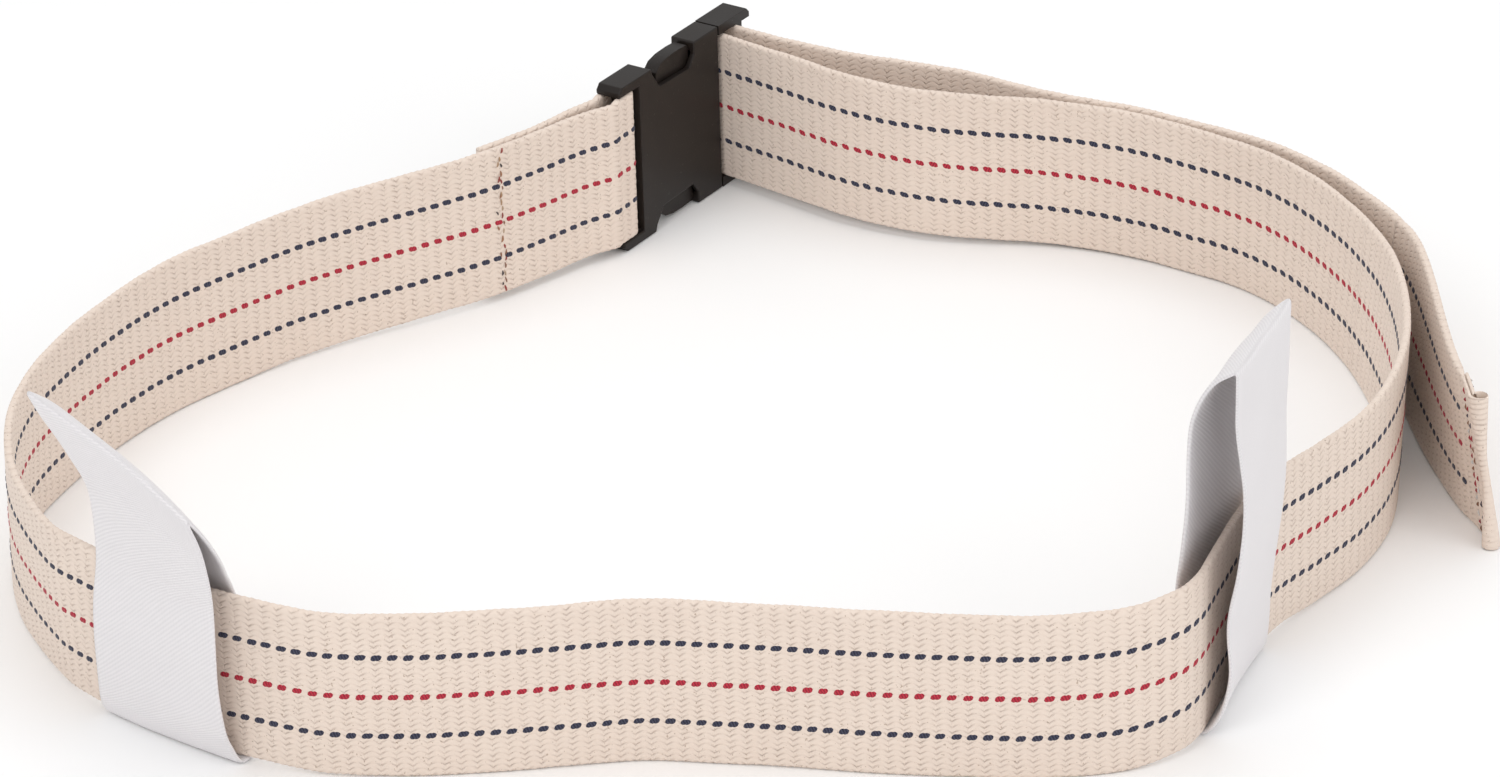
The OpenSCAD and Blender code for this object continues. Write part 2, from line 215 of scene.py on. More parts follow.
def strap(name, c, s0=0.0, seed=1, ribs=True, thin=None):
    d, n, s = frames(c)
    th = np.ones(len(c)) if thin is None else thin(s)
    s = s + s0
    m, k = len(PROF), len(c)
    up, dn = wobble(s, seed) * 0.8, wobble(s, seed + 7) * 0.8
    rib = 0.13 * np.sin(2 * math.pi * s / (PITCH / 2)) if ribs else 0 * s
    f = PROF[:, 1] / W
    edge = np.clip((np.abs(f - 0.5) - 0.44) / 0.06, 0, 1)
    sign = np.where(f > 0.5, 1, -1)
    # lower edge never drops below where the solid stands
    dz = (np.where(f[None] > 0.5, up[:, None], np.maximum(dn[:, None], 0)) + rib[:, None] * sign[None]) * edge[None] ** 1.5
    z = PROF[None, :, 1] + dz
    row = 0.07 * np.sin(2 * math.pi * PROF[:, 1] / 3.5)[None] * np.sign(PROF[:, 0])[None] * (1 - edge)[None]
    o = (PROF[None, :, 0] + row) * th[:, None]
    q = o + c[:, 3:4] * (z / W - 0.5)
    v = np.stack([c[:, 0:1] + n[:, 0:1] * q, c[:, 1:2] + n[:, 1:2] * q, c[:, 2:3] + z], -1).reshape(-1, 3)
    v[:, 2] = np.maximum(v[:, 2], 0.02)
    wv = np.stack([np.repeat(s[:, None], m, 1), np.repeat(PROF[None, :, 1], k, 0), np.repeat(np.sign(PROF[None, :, 0]), k, 0)], -1).reshape(-1, 3)
    i = np.arange(k - 1)[:, None] * m
    j = np.arange(m)[None]
    j2 = (j + 1) % m
    fa = np.stack([i + j, i + m + j, i + m + j2, i + j2], -1).reshape(-1, 4).tolist()
    h = m // 2
    # end caps as strips across the thickness
    for base, flip in ((0, False), ((k - 1) * m, True)):
        for a in range(0, h - 1):
            q4 = [base + a, base + a + 1, base + m - 2 - a, base + m - 1 - a]
            if len(set(q4)) == 4:
                fa.append(q4[::-1] if flip else q4)
    return mesh_object(name, v, fa, {"wv": ("FLOAT_VECTOR", wv)})


DASH_U, DASH_V = 9, 5
def dashes(name, c, heights, faces, s0=0.0, skip=(), win=None):
    """raised two-lobed weft floats, one every pitch, following the webbing face"""
    d, n, s = frames(c)
    sa = s + s0
    turn = np.abs(np.gradient(np.unwrap(np.arctan2(d[:, 1], d[:, 0])), s))
    verts, fa, wv = [], [], []
    rng = np.random.RandomState(11)
    w0, w1 = win or (1.8, s[-1] - 1.8)
    for h in heights:
        for sg in faces:
            for k in range(int(sa[0] / PITCH) - 1, int(sa[-1] / PITCH) + 2):
                mid = k * PITCH + (1.1 if h < 20 else 0.4 if h > 30 else 0) - s0
                if not w0 <= mid < w1:
                    continue
                near = turn[(s > mid - 1.2) & (s < mid + 1.2)]
                if (len(near) and near.min() > 0.26) or any(a < mid < b and sg == g for a, b, g in skip):
                    continue
                ln, wd = 1.64 + rng.uniform(-0.09, 0.09), 1.02 + rng.uniform(-0.06, 0.06)
                dh, ds = rng.uniform(-0.09, 0.09), rng.uniform(-0.1, 0.1)
                base = len(verts)
                for iu in range(DASH_U):
                    u = -1 + 2 * iu / (DASH_U - 1)
                    for iv in range(DASH_V):
                        w = -1 + 2 * iv / (DASH_V - 1)
                        wid = wd * max(0.12, (1 - abs(u) ** 2.6)) ** 0.5
                        along = mid + ds + u * ln + 0.16 * w
                        pinch = 1 - 0.34 * math.exp(-(u / 0.2) ** 2)
                        rise = 0.42 * pinch * math.sqrt(max(0.0, 1 - (w * 0.96) ** 2)) * (1 - abs(u) ** 4) - 0.16
                        st = [np.interp(along, s, c[:, q]) for q in range(4)]
                        nn = [np.interp(along, s, n[:, 0]), np.interp(along, s, n[:, 1])]
                        p = surface(st, None, nn, sg * (T / 2 + rise), h + dh + w * wid + 0.10 * u)
                        verts.append(p)
                        wv.append([along + s0, w, k])
                for iu in range(DASH_U - 1):
                    for iv in range(DASH_V - 1):
                        a = base + iu * DASH_V + iv
                        q4 = [a, a + DASH_V, a + DASH_V + 1, a + 1]
                        fa.append(q4 if sg > 0 else q4[::-1])
    return mesh_object(name, verts, fa, {"wv": ("FLOAT_VECTOR", wv)})

# ------------------------------------------------------------------ materials
def tree(name):
    m = bpy.data.materials.new(name)
    m.use_nodes = True
    return m, m.node_tree, m.node_tree.nodes["Principled BSDF"]


class N:
    """short hands for building node trees"""
    def __init__(self, nt):
        self.nt = nt
    def node(self, kind, **kw):
        q = self.nt.nodes.new(kind)
        for k, v in kw.items():
            setattr(q, k, v)
        return q
    def put(self, sock, v):
        if isinstance(v, (int, float)):
            sock.default_value = v
        else:
            self.nt.links.new(v, sock)
    def m(self, op, a, b=0.0, c=None, clamp=False):
        q = self.node("ShaderNodeMath", operation=op, use_clamp=clamp)
        self.put(q.inputs[0], a)
        self.put(q.inputs[1], b)
        if c is not None:
            self.put(q.inputs[2], c)
        return q.outputs[0]
    def mix(self, f, a, b):
        q = self.node("ShaderNodeMix", data_type="RGBA")
        self.put(q.inputs[0], f)
        for i, v in ((6, a), (7, b)):
            if isinstance(v, tuple):
                q.inputs[i].default_value = (*v, 1)
            else:
                self.nt.links.new(v, q.inputs[i])
        return q.outputs[2]
    def noise(self, vec, scale, detail=3.0):
        q = self.node("ShaderNodeTexNoise")
        q.inputs["Scale"].default_value = scale
        q.inputs["Detail"].default_value = detail
        if vec is not None:
            self.nt.links.new(vec, q.inputs["Vector"])
        return q.outputs["Fac"]


def webbing_material():
    m, nt, b = tree("cotton_webbing")
    g = N(nt)
    at = g.node("ShaderNodeAttribute", attribute_name="wv")
    sep = g.node("ShaderNodeSeparateXYZ")
    nt.links.new(at.outputs["Vector"], sep.inputs[0])
    s, z = sep.outputs[0], sep.outputs[1]
    obj = g.node("ShaderNodeTexCoord").outputs["Object"]
    # slight irregularity so that the rows are not machine perfect
    wob = g.m("MULTIPLY", g.m("SUBTRACT", g.noise(obj, 260.0, 2.0), 0.5), 0.9)
    u = g.m("DIVIDE", s, PITCH)
    scale = g.m("ABSOLUTE", g.m("SINE", g.m("MULTIPLY", u, math.pi)))      # round crowns, sharp valleys
    zz = g.m("ADD", g.m("ADD", z, wob), g.m("MULTIPLY", scale, -1.0))
    fr = g.m("FRACT", g.m("DIVIDE", zz, 1.75))                       # row
    dist = g.m("ABSOLUTE", g.m("SUBTRACT", fr, 0.5))                 # 0 at a row's middle
    line = g.m("POWER", g.m("MULTIPLY", dist, 2.0), 3.2)             # 1 between rows
    # each float dives under the next one: the line between rows fades over part of its length
    uf = g.m("FRACT", u)
    lobe = g.m("SINE", g.m("MULTIPLY", g.m("ADD", uf, g.m("MULTIPLY", g.noise(obj, 170.0, 2.0), 0.35)), 2 * math.pi))
    part = g.m("MULTIPLY_ADD", lobe, 0.42, 0.58, clamp=True)
    patch = g.m("MULTIPLY_ADD", g.noise(obj, 330.0, 2.0), 1.5, -0.28, clamp=True)
    groove = g.m("MULTIPLY", line, g.m("MULTIPLY", part, g.m("ADD", 0.35, g.m("MULTIPLY", patch, 0.9))), clamp=True)
    valley = g.m("POWER", g.m("SUBTRACT", 1.0, scale, clamp=True), 3.0)
    knot = g.m("MULTIPLY", valley, 0.8)
    fibre = g.noise(obj, 2400.0, 2.0)
    height = g.m("SUBTRACT", 1.0, g.m("MAXIMUM", g.m("MULTIPLY", groove, 1.15), g.m("MULTIPLY", knot, 0.45)))
    height = g.m("ADD", height, g.m("MULTIPLY", fibre, 0.28))
    bump = g.node("ShaderNodeBump")
    bump.inputs["Strength"].default_value = 0.75
    bump.inputs["Distance"].default_value = 0.00042
    nt.links.new(height, bump.inputs["Height"])
    nt.links.new(bump.outputs[0], b.inputs["Normal"])
    shade = g.m("MULTIPLY", groove, g.m("ADD", 0.35, g.m("MULTIPLY", g.noise(obj, 420.0, 2.0), 0.75)), clamp=True)
    tone = g.mix(g.noise(obj, 38.0, 3.0), (0.765, 0.635, 0.545), (0.825, 0.70, 0.605))
    tone = g.mix(g.m("MULTIPLY", g.noise(obj, 900.0, 2.0), 0.35), tone, (0.87, 0.775, 0.70))
    col = g.mix(g.m("MULTIPLY", shade, 0.72), tone, (0.47, 0.34, 0.27))
    fleck = g.m("GREATER_THAN", g.noise(obj, 1500.0, 0.0), 0.785)
    col = g.mix(g.m("MULTIPLY", fleck, 0.55), col, (0.30, 0.20, 0.13))
    nt.links.new(col, b.inputs["Base Color"])
    nt.links.new(g.m("ADD", 0.86, g.m("MULTIPLY", groove, 0.1)), b.inputs["Roughness"])
    b.inputs["Specular IOR Level"].default_value = 0.18
    b.inputs["Sheen Weight"].default_value = 0.12
    b.inputs["Sheen Roughness"].default_value = 0.5
    return m


def yarn_material(name, dark, light):
    m, nt, b = tree(name)
    g = N(nt)
    at = g.node("ShaderNodeAttribute", attribute_name="wv")
    sep = g.node("ShaderNodeSeparateXYZ")
    nt.links.new(at.outputs["Vector"], sep.inputs[0])
    obj = g.node("ShaderNodeTexCoord").outputs["Object"]
    # twisted plies running slantwise over each float
    ply = g.m("SINE", g.m("ADD", g.m("MULTIPLY", sep.outputs[0], 7.5), g.m("MULTIPLY", sep.outputs[1], 3.2)))
    ply = g.m("MULTIPLY_ADD", ply, 0.5, 0.5)
    # painted shade: the yarn colour follows the ply bump, darker in the troughs between plies and lighter on their
    # crowns, with random variation
    f = g.m("MULTIPLY", ply, g.m("ADD", 0.4, g.noise(obj, 1700.0, 2.0)), clamp=True)
    nt.links.new(g.mix(f, dark, light), b.inputs["Base Color"])
    bump = g.node("ShaderNodeBump")
    bump.inputs["Strength"].default_value = 0.5
    bump.inputs["Distance"].default_value = 0.0002
    nt.links.new(ply, bump.inputs["Height"])
    nt.links.new(bump.outputs[0], b.inputs["Normal"])
    nt.links.new(g.m("ADD", 0.7, g.m("MULTIPLY", f, 0.15)), b.inputs["Roughness"])
    b.inputs["Specular IOR Level"].default_value = 0.25
    b.inputs["Sheen Weight"].default_value = 0.15
    return m


def white_material():
    m, nt, b = tree("white_webbing")
    g = N(nt)
    at = g.node("ShaderNodeAttribute", attribute_name="wv")
    sep = g.node("ShaderNodeSeparateXYZ")
    nt.links.new(at.outputs["Vector"], sep.inputs[0])
    s, z = sep.outputs[0], sep.outputs[1]                            # along the strip, across it (mm)
    obj = g.node("ShaderNodeTexCoord").outputs["Object"]
    # fine twill: short slanted ribs that step from column to column
    col = g.m("DIVIDE", z, 1.15)
    cf = g.m("FRACT", col)
    slant = g.m("FRACT", g.m("DIVIDE", g.m("ADD", s, g.m("MULTIPLY", z, 0.62)), 1.05))
    rib = g.m("SINE", g.m("MULTIPLY", slant, 6.2832))
    seam = g.m("POWER", g.m("MULTIPLY", g.m("ABSOLUTE", g.m("SUBTRACT", cf, 0.5)), 2.0), 5.0)
    h = g.m("SUBTRACT", g.m("MULTIPLY_ADD", rib, 0.5, 0.5), g.m("MULTIPLY", seam, 0.4))
    fine = g.noise(obj, 2600.0, 2.0)
    h = g.m("ADD", h, g.m("MULTIPLY", fine, 0.2))
    bump = g.node("ShaderNodeBump")
    bump.inputs["Strength"].default_value = 0.4
    bump.inputs["Distance"].default_value = 0.00018
    nt.links.new(h, bump.inputs["Height"])
    nt.links.new(bump.outputs[0], b.inputs["Normal"])
    tone = g.mix(g.noise(obj, 45.0, 3.0), (0.80, 0.775, 0.785), (0.84, 0.815, 0.825))
    shade = g.m("MULTIPLY", g.m("SUBTRACT", 1.0, h), 0.16, clamp=True)
    nt.links.new(g.mix(g.m("MULTIPLY", shade, 2.0), tone, (0.58, 0.56, 0.58)), b.inputs["Base Color"])
    nt.links.new(g.m("ADD", 0.62, g.m("MULTIPLY", fine, 0.2)), b.inputs["Roughness"])
    b.inputs["Specular IOR Level"].default_value = 0.28
    b.inputs["Sheen Weight"].default_value = 0.1
    return m


def acetal_material():
    m, nt, b = tree("acetal")
    g = N(nt)
    obj = g.node("ShaderNodeTexCoord").outputs["Object"]
    n1, n2 = g.noise(obj, 55.0, 4.0), g.noise(obj, 2100.0, 2.0)
    col = g.mix(n1, (0.0085, 0.0056, 0.0044), (0.0165, 0.0115, 0.0092))
    col = g.mix(g.m("MULTIPLY", g.m("GREATER_THAN", g.noise(obj, 1300.0, 0.0), 0.8), 0.3), col, (0.09, 0.08, 0.07))
    nt.links.new(col, b.inputs["Base Color"])
    nt.links.new(g.m("ADD", 0.34, g.m("MULTIPLY", n1, 0.16)), b.inputs["Roughness"])
    bump = g.node("ShaderNodeBump")
    bump.inputs["Strength"].default_value = 0.22
    bump.inputs["Distance"].default_value = 0.00008
    nt.links.new(n2, bump.inputs["Height"])
    nt.links.new(bump.outputs[0], b.inputs["Normal"])
    b.inputs["Specular IOR Level"].default_value = 0.3
    return m


def thread_material():
    m, nt, b = tree("thread")
    g = N(nt)
    at = g.node("ShaderNodeAttribute", attribute_name="tint")
    obj = g.node("ShaderNodeTexCoord").outputs["Object"]
    fine = g.noise(obj, 2200.0, 2.0)
    dark = g.mix(g.m("MULTIPLY", fine, 0.55), at.outputs["Color"], (0.08, 0.05, 0.04))
    nt.links.new(dark, b.inputs["Base Color"])
    nt.links.new(g.m("ADD", 0.6, g.m("MULTIPLY", fine, 0.25)), b.inputs["Roughness"])
    bump = g.node("ShaderNodeBump")
    bump.inputs["Strength"].default_value = 0.4
    bump.inputs["Distance"].default_value = 0.0001
    nt.links.new(fine, bump.inputs["Height"])
    nt.links.new(bump.outputs[0], b.inputs["Normal"])
    return m


COTTON, WHITE, ACETAL, THREAD = webbing_material(), white_material(), acetal_material(), thread_material()
RED = yarn_material("red_yarn", (0.27, 0.012, 0.028), (0.58, 0.035, 0.062))
NAVY = yarn_material("navy_yarn", (0.017, 0.018, 0.036), (0.066, 0.068, 0.108))


def finish_piece(o, mat):
    o.data.materials.clear()
    o.data.materials.append(mat)
    return o

# ------------------------------------------------------------------ belt webbing
S_BACK = frames(belt_c)[2][-1]
S_END = S_BACK + frames(back_c)[2][-1]
n_outer = frames(outer_in)[2][-1]
belt = finish_piece(strap("belt_webbing", belt_c, 0.0, 1), COTTON)
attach(belt, "belt")
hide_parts("sewn_end_fold", "sewn_end_outer_layer", "left_run", "left_bend", "front_left_corner", "front_run",
            "front_right_corner", "right_bend")
back = finish_piece(strap("adjusting_webbing", back_c, S_BACK, 3), COTTON)
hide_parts("right_run", "adjuster_wrap", "tail_run")
TIP_AT = float(frames(tail_all[tcut:])[2][-1])
def hem_thin(s):
    return 1 - (1 - HEM_THIN) * np.clip((s - (TIP_AT - 18)) / 7, 0, 1)
end = finish_piece(strap("free_end_webbing", end_c, S_END, 5, True, hem_thin), COTTON)
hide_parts("tail_end", "tail_hem")

hidden = [(0, n_outer + 1, 1), (n_outer + 8, n_outer + 58, 1)]
EXT = 5
belt_x = np.vstack([belt_c, whole[cut + 1:cut + 1 + EXT]])
back_x = np.vstack([whole[cut - EXT:cut], back_c, tail_all[tcut + 1:tcut + 1 + EXT]])
end_x = np.vstack([tail_all[tcut - EXT:tcut], end_c])
PRE_B = float(frames(back_x)[2][EXT])
PRE_E = float(frames(end_x)[2][EXT])
LEN_B = float(frames(back_c)[2][-1])
for label, mat, hs in (("red", RED, [25.0]), ("navy", NAVY, [12.8, 37.2])):
    o = finish_piece(dashes(f"belt_{label}_dashes", belt_x, hs, (1, -1), 0.0, hidden, (1.8, S_BACK)), mat)
    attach(o, "belt")
    o = finish_piece(dashes(f"adjusting_{label}_dashes", back_x, hs, (1, -1), S_BACK - PRE_B, (), (PRE_B, PRE_B + LEN_B)), mat)
    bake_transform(o)
    o = finish_piece(dashes(f"free_end_{label}_dashes", end_x, hs, (1, -1), S_END - PRE_E, (), (PRE_E, PRE_E + TIP_AT - 14)), mat)
    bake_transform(o)
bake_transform(back)
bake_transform(end)

# ------------------------------------------------------------------ thread
def thread_run(name, items):
    """short arched stitches: each (start, end, out, radius, colour), in mm"""
    verts, fa, tint = [], [], []
    for a, b, out, r, colr in items:
        a, b, out = np.array(a, float), np.array(b, float), np.array(out, float)
        ax = b - a
        L = np.linalg.norm(ax)
        ax /= L
        up = out / np.linalg.norm(out)
        sd = np.cross(ax, up)
        base, n, q = len(verts), 9, 8
        for i in range(n):
            t = i / (n - 1)
            rise = 0.34 * math.sin(math.pi * t) - 0.22
            rad = r * (0.55 + 0.45 * math.sin(math.pi * t)) * (1 + 0.08 * math.sin(14 * t))
            cc = a + ax * L * t + up * rise
            for j in range(q):
                w = 2 * math.pi * j / q
                verts.append(cc + sd * rad * math.cos(w) + up * rad * math.sin(w))
                tint.append([*colr, 1])
        for i in range(n - 1):
            for j in range(q):
                fa.append([base + i * q + j, base + i * q + (j + 1) % q, base + (i + 1) * q + (j + 1) % q, base + (i + 1) * q + j])
        fa.append([base + j for j in range(q)][::-1])
        fa.append([base + (n - 1) * q + j for j in range(q)])
    return mesh_object(name, verts, fa, {"tint": ("FLOAT_COLOR", tint)})


TONES = [(0.30, 0.13, 0.07), (0.36, 0.05, 0.04), (0.05, 0.045, 0.05), (0.52, 0.34, 0.20), (0.42, 0.20, 0.10), (0.60, 0.44, 0.30)]
def across_seam(c, at, side_sign, z0, z1, gap, seed, tones, face=T / 2):
    """an irregular row of upright stitches across the webbing at arc length at"""
    d, n, s = frames(c)
    rng = np.random.RandomState(seed)
    out, z = [], z0
    while z < z1:
        L = rng.uniform(1.3, 2.3)
        pos = at + rng.uniform(-0.45, 0.45)
        st = [np.interp(pos, s, c[:, q]) for q in range(4)]
        nn = np.array([np.interp(pos, s, n[:, 0]), np.interp(pos, s, n[:, 1])])
        st2 = [np.interp(pos + rng.uniform(-0.7, 0.7), s, c[:, q]) for q in range(4)]
        a = surface(st, None, nn, side_sign * (face + 0.12), z)
        b = surface(st2, None, nn, side_sign * (face + 0.12), min(z + L, z1 + 0.6))
        out.append((a, b, [*(nn * side_sign), 0], rng.uniform(0.22, 0.34), tones[rng.randint(len(tones))]))
        z += L + gap * rng.uniform(0.4, 1.3)
    return out


sb = frames(belt_c)[2]
left0 = sb[len(outer_in) + len(fold)]
seam_at = sb[len(outer_in) + len(fold) + int(np.argmin(np.hypot(whole[:, 0] + 74.2, whole[:, 1] - 101.0)))]
seam = thread_run("sewn_end_seam", across_seam(belt_c, seam_at, -1, 0.6, 49.3, 0.8, 4, TONES)
                  + across_seam(belt_c, seam_at + 1.3, -1, 3.0, 47.0, 4.0, 9, TONES)
                  + across_seam(belt_c, n_outer - (n_outer - 5.0), -1, 0.8, 49.0, 0.9, 6, TONES))
finish_piece(seam, THREAD)
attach(seam, "belt")
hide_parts("sewn_end_stitching")

se = frames(end_c)[2]
tip_at = float(frames(tail_all[tcut:])[2][-1])
HEM = [(0.42, 0.03, 0.05), (0.05, 0.05, 0.09), (0.30, 0.14, 0.08), (0.82, 0.80, 0.78), (0.42, 0.03, 0.05)]
hem = thread_run("free_end_seam", across_seam(end_c, tip_at - 7.5, 1, 1.0, 49.0, 0.9, 3, HEM, HEM_THIN * T / 2)
                 + across_seam(end_c, tip_at - 4.6, 1, 6.0, 46.0, 3.0, 8, HEM, HEM_THIN * T / 2)
                 + across_seam(end_c, se[-1] - 3.5, 1, 1.0, 49.0, 1.0, 5, HEM, HEM_THIN * T / 2))
finish_piece(hem, THREAD)
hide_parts("tail_hem_stitching")
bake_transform(hem)

# ------------------------------------------------------------------ hand loops
def spline(p, n):
    """smooth curve through p, evenly spaced, n points"""
    c = smooth(p, 16)
    s = np.r_[0, np.cumsum(np.linalg.norm(np.diff(c, axis=0), axis=1))]
    q = np.linspace(0, s[-1], n)
    return np.stack([np.interp(q, s, c[:, k]) for k in range(c.shape[1])], 1)


fr8 = smooth(front_pts, 8)
LOOP_T = 1.3
def loop(name, at, tdir, seed, ea, em, eb, n_out, n_in):
    """One closed strip of 50 mm webbing: fold on top, outer leg down, under the belt, inner leg up. ea, em and eb are
    its near edge, middle and far edge as (along, out, height); the first n_out points are the outer leg, the last n_in
    the inner one. Legs stay clear of the belt's own curved faces."""
    at, tdir = np.array(at, float), np.array(tdir) / np.hypot(*tdir)
    ndir = np.array([tdir[1], -tdir[0]])
    rel = fr8[:, :2] - at
    pt, pn = rel @ tdir, rel @ ndir
    sel = (np.abs(pt) < 36) & (np.abs(pn) < 25)
    order = np.argsort(pt[sel])
    ptx, pnx = pt[sel][order], pn[sel][order]
    NS, NR = 57, 200
    curves = [spline(e + [e[0]], NR + 1)[:-1] for e in (ea, em, eb)]
    # the same share of the ring for each control point, so that the three curves stay in step
    def stepped(e):
        e = np.array(e + [e[0]], float)
        q = smooth(e, 12)
        return np.stack([np.interp(np.linspace(0, len(q) - 1, NR + 1)[:-1], np.arange(len(q)), q[:, k]) for k in range(3)], 1)
    ca, cm, cb = stepped(ea), stepped(em), stepped(eb)
    total = len(ea)
    k_out, k_in = int(NR * n_out / total), int(NR * (total - n_in) / total)
    cen = np.zeros((NS, NR, 3))
    for i in range(NS):
        f = i / (NS - 1) * 2 - 1
        wa, wm, wb = f * (f - 1) / 2, 1 - f * f, f * (f + 1) / 2
        q = ca * wa + cm * wm + cb * wb
        t, n, z = q[:, 0], q[:, 1].copy(), q[:, 2]
        path = np.interp(t, ptx, pnx)
        gap = T / 2 + 0.25 + LOOP_T / 2
        low = np.clip((54.5 - z) / 3.0, 0, 1) * (z > 2.2)
        idx = np.arange(NR)
        n = np.where((idx <= k_out) & (low > 0), np.maximum(n, path + gap * low - 40 * (1 - low)), n)
        n = np.where((idx >= k_in) & (low > 0), np.minimum(n, path - gap * low + 40 * (1 - low)), n)
        n = n + 0.2 * np.sin(t * 0.21 + seed + z * 0.09) * np.clip((z - 56) / 20, 0, 1)
        cen[i, :, 0] = at[0] + tdir[0] * t + ndir[0] * n
        cen[i, :, 1] = at[1] + tdir[1] * t + ndir[1] * n
        cen[i, :, 2] = np.maximum(z, 0.70)
    for _ in range(3):
        cen = 0.5 * cen + 0.25 * (np.roll(cen, 1, 1) + np.roll(cen, -1, 1))
    cen[..., 2] = np.maximum(cen[..., 2], 0.70)
    dr = np.roll(cen, -1, 1) - np.roll(cen, 1, 1)
    dt_ = np.gradient(cen, axis=0)
    nm = np.cross(dr, dt_)
    nm /= np.maximum(np.linalg.norm(nm, axis=2), 1e-9)[..., None]
    # point outwards everywhere
    if np.sum(nm[NS // 2, int(NR * 0.2)] * np.array([ndir[0], ndir[1], 0])) < 0:
        nm = -nm
        flip = True
    else:
        flip = False
    h = np.full(NS, LOOP_T / 2)
    h[[0, -1]], h[[1, -2]] = LOOP_T * 0.24, LOOP_T * 0.44
    A, B = cen + nm * h[:, None, None], cen - nm * h[:, None, None]
    V = np.concatenate([A.reshape(-1, 3), B.reshape(-1, 3)])
    V[:, 2] = np.maximum(V[:, 2], 0.03)
    base = NS * NR
    fa = []
    for i in range(NS - 1):
        for k in range(NR):
            k2 = (k + 1) % NR
            q = [i * NR + k, i * NR + k2, (i + 1) * NR + k2, (i + 1) * NR + k]
            fa.append(q if not flip else q[::-1])
            r = [base + x for x in q]
            fa.append(r[::-1] if not flip else r)
    for k in range(NR):
        k2 = (k + 1) % NR
        r0 = (NS - 1) * NR
        q = [base + k, base + k2, k2, k]
        fa.append(q if not flip else q[::-1])
        q = [r0 + k, r0 + k2, base + r0 + k2, base + r0 + k]
        fa.append(q if not flip else q[::-1])
    length = float(np.linalg.norm(np.diff(np.vstack([cen[NS // 2], cen[NS // 2][:1]]), axis=0), axis=1).sum())
    wv = np.zeros((2, NS, NR, 3))
    wv[..., 0] = np.linspace(0, length, NR)[None, None]
    wv[..., 1] = np.linspace(0, 50, NS)[None, :, None]
    o = mesh_object(name, V, fa, {"wv": ("FLOAT_VECTOR", wv.reshape(-1, 3))})
    o["ring_length_mm"] = length
    return finish_piece(o, WHITE)


def edge(ts, ns, zs):
    return [list(q) for q in zip(ts if isinstance(ts, list) else [ts] * len(ns), ns, zs)]

# heights and offsets from the fold down the outer leg (12), under the belt (1), and up the inner leg (9)
R_A = edge([-25.0] * 11 + [-25.5, -25.5] + [-25.0] * 9,
           [10.3, 10.4, 10.5, 11.6, 12.7, 12.6, 11.3, 9.2, 8.7, 9.6, 7.6, 4.2, 1.2, -1.1, -2.6, -4.8, -6.2, -4.9, -3.6, -3.2, -2.0, 2.9],
           [112.8, 104, 95, 86, 76, 64, 51, 40, 32, 20, 9, 2.4, 0.72, 3, 14, 28, 42, 54, 69, 84, 96.3, 107])
R_M = edge(0.0, [8.8, 9.0, 9.0, 9.3, 9.8, 9.8, 8.6, 7.2, 6.2, 5.6, 4.4, 2.4, -0.2, -2.5, -3.6, -5.4, -6.6, -5.8, -4.8, -4.3, -3.0, 2.0],
           [110.6, 102, 94, 85, 75, 64, 51, 40, 32, 20, 9, 2.4, 0.72, 3, 14, 28, 42, 54, 69, 84, 96, 105.5])
R_B = edge([26.5, 25.6] + [25.0] * 20,
           [7.6, 7.4, 7.4, 7.1, 7.0, 7.4, 6.8, 5.8, 4.6, 3.6, 3.2, 2.4, 0.6, -1.7, -3.0, -5.0, -5.4, -3.6, -2.8, -3.2, -3.2, 1.0],
           [110.2, 101, 92, 84, 76, 62, 50, 40, 30, 20, 9, 2.4, 0.72, 3, 14, 28, 42, 54, 69, 84, 95, 103.5])
right_loop = loop("right_hand_loop", (131, -152), (0.41, 0.912), 1.0, R_A, R_M, R_B, 12, 9)
L_A = edge([-27.0, -26.6, -26.0, -25.5, -24.2, -22.8, -22.2, -23.2, -24.6, -25.0, -25.0, -25.0, -25.0] + [-25.0, -25.0, -25.0, -24.0, -23.0, -24.0, -25.0, -26.0, -26.8],
           [19.0, 14.6, 11.0, 6.8, 2.4, 2.2, 3.0, 4.4, 4.0, 3.6, 3.4, 2.4, 0.7, -1.5, -2.2, -4.0, -6.0, -6.6, -6.0, -3.4, 3.0, 11.0],
           [107.0, 97.5, 90.8, 82.5, 72, 61, 50, 38, 26, 14, 6, 2.2, 0.72, 3, 14, 28, 42, 54, 66, 78, 90, 100])
L_M = edge(0.0, [15.0, 13.4, 11.9, 9.6, 7.6, 6.2, 5.3, 5.0, 4.8, 4.2, 3.5, 2.6, 0.7, -1.5, -2.6, -4.5, -6.0, -6.0, -4.0, -0.5, 4.6, 10.6],
           [94.5, 88.5, 82.4, 75, 66.5, 58, 50, 38, 26, 14, 6, 2.2, 0.72, 3, 14, 28, 42, 54, 64, 74, 83, 90.5])
L_B = edge([24.0, 24.6] + [25.0] * 11 + [25.0, 25.0, 24.5, 23.0, 21.6, 22.5, 24.0, 24.6, 24.6],
           [12.4, 11.7, 10.5, 9.1, 8.0, 7.0, 6.7, 7.1, 7.2, 5.6, 3.4, 0.4, -3.0, -5.3, -5.4, -6.0, -6.4, -4.6, -1.8, 1.4, 5.6, 9.8],
           [80.6, 77.6, 74, 69.5, 64, 57, 50, 38, 26, 13, 7, 1.4, 0.72, 3, 14, 28, 42, 52, 57.5, 63.5, 71, 77.4])
left_loop = loop("left_hand_loop", (-158, -161), (0.768, -0.64), 2.3, L_A, L_M, L_B, 12, 9)
for o, body, at in ((right_loop, "right_loop", (0.131, -0.152)), (left_loop, "left_loop", (-0.158, -0.161))):
    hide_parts(f"{body.split('_')[0]}_handle_wrap", f"{body.split('_')[0]}_handle_grip")
    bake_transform(o)

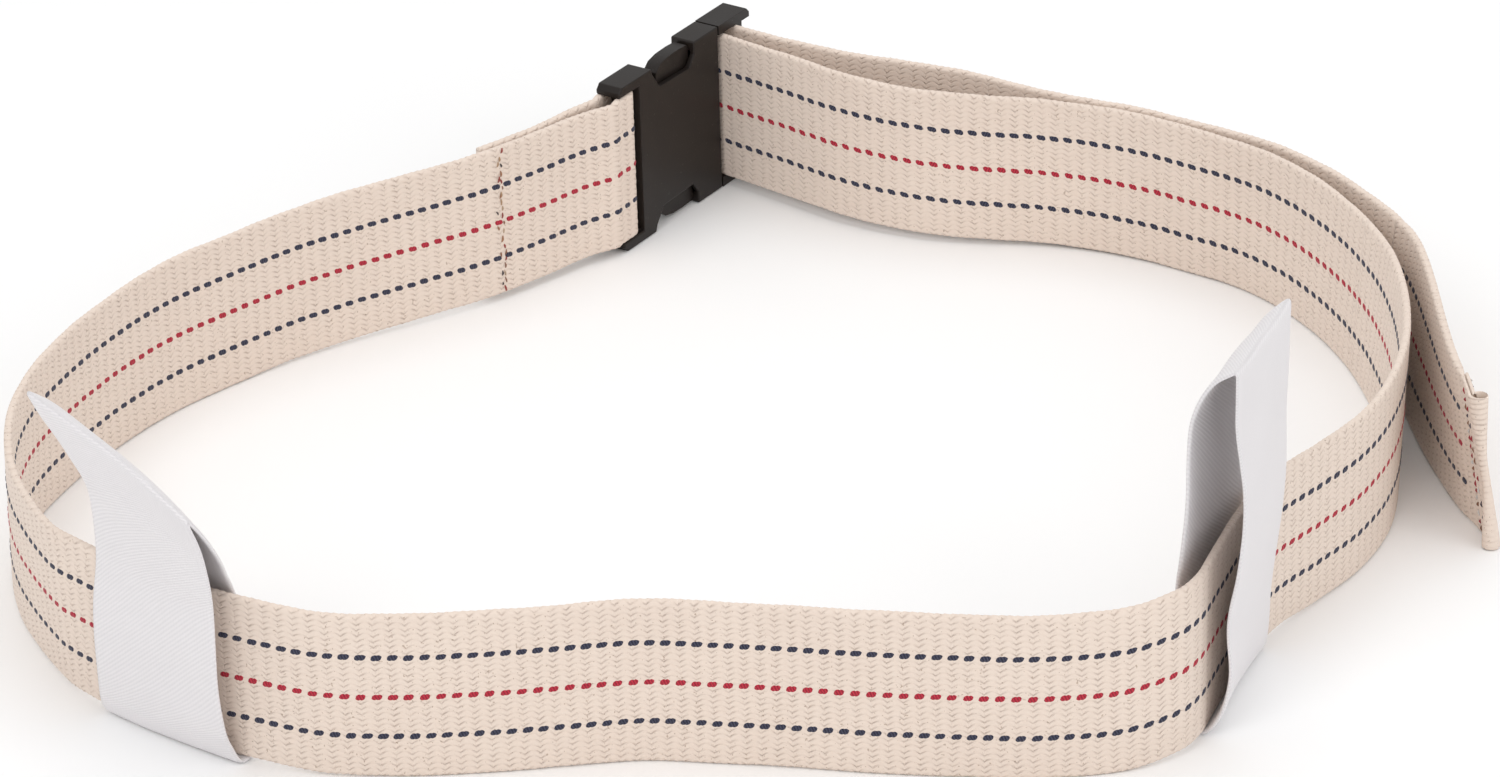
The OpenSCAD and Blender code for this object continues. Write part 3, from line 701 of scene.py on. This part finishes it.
# closing seam of each loop, two rows on the inner leg
def loop_seam(name, span, ni, node):
    path = fr8[span[0]:span[1] + 1]
    d, n, s = frames(path)
    rng = np.random.RandomState(21)
    out = []
    for z in (15.0, 27.0):
        for k in range(9):
            pos = s[-1] * (0.1 + 0.8 * k / 8)
            a = []
            for e in (-1.15, 1.15):
                q = pos + e
                st = [np.interp(q, s, path[:, j]) for j in range(4)]
                nn = np.array([np.interp(q, s, n[:, 0]), np.interp(q, s, n[:, 1])])
                off = -(np.interp(z, [14, 28, 40], ni) + LOOP_T / 2 + 0.12)
                p = surface(st, None, nn, off, 0)
                a.append([p[0], p[1], z + rng.uniform(-0.15, 0.15)])
            out.append((a[0], a[1], [*(-nn), 0], 0.26, (0.80, 0.79, 0.80)))
    o = finish_piece(thread_run(name, out), THREAD)
    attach(o, "belt")
    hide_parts(node)
loop_seam("left_loop_seam", (11, 31), [2.4, 4.0, 6.0], "left_handle_stitching")
loop_seam("right_loop_seam", (138, 157), [3.2, 5.0, 6.5], "right_handle_stitching")

# ------------------------------------------------------------------ buckle
for nm in ("buckle_socket", "plug_frame", "latch_arm_upper", "latch_arm_lower"):
    o = nodes[nm]
    o.data.materials.clear()
    o.data.materials.append(ACETAL)
    wd = o.modifiers.new("weld", "WELD")
    wd.merge_threshold = 1e-6
    bv = o.modifiers.new("bevel", "BEVEL")
    bv.width, bv.segments = 0.00055, 3
    bv.limit_method, bv.angle_limit = "ANGLE", math.radians(32)
    bv.harden_normals = False
    o.modifiers.new("normals", "WEIGHTED_NORMAL")

# ------------------------------------------------------------------ floor and light
me = bpy.data.meshes.new("floor")
me.from_pydata([(-6, -6, -0.0002), (6, -6, -0.0002), (6, 6, -0.0002), (-6, 6, -0.0002)], [], [(0, 1, 2, 3)])
floor = bpy.data.objects.new("floor", me)
scene.collection.objects.link(floor)
fm, fnt, fb = tree("floor")
fb.inputs["Base Color"].default_value = (0.96, 0.96, 0.96, 1)
fb.inputs["Roughness"].default_value = 0.9
fb.inputs["Specular IOR Level"].default_value = 0.1
floor.data.materials.append(fm)

world = bpy.data.worlds.new("world")
scene.world = world
world.use_nodes = True
bg = world.node_tree.nodes["Background"]
bg.inputs[0].default_value = (1, 1, 1, 1)
bg.inputs[1].default_value = 0.74


def area(name, at, target, size, power):
    l = bpy.data.lights.new(name, "AREA")
    l.shape, l.size, l.energy = "DISK", size, power
    o = bpy.data.objects.new(name, l)
    scene.collection.objects.link(o)
    o.location = at
    o.rotation_euler = (Vector(target) - Vector(at)).to_track_quat("-Z", "Y").to_euler()
area("key", (-0.9, -1.5, 1.7), (0, 0, 0.02), 1.3, 11)
area("fill", (1.5, -1.1, 1.1), (0, 0, 0.02), 1.5, 6.5)
area("top", (0.1, 0.5, 2.1), (0, 0, 0.02), 1.8, 9)
scene.view_settings.view_transform = "Standard"
scene.view_settings.look = "None"

bpy.context.view_layer.update()
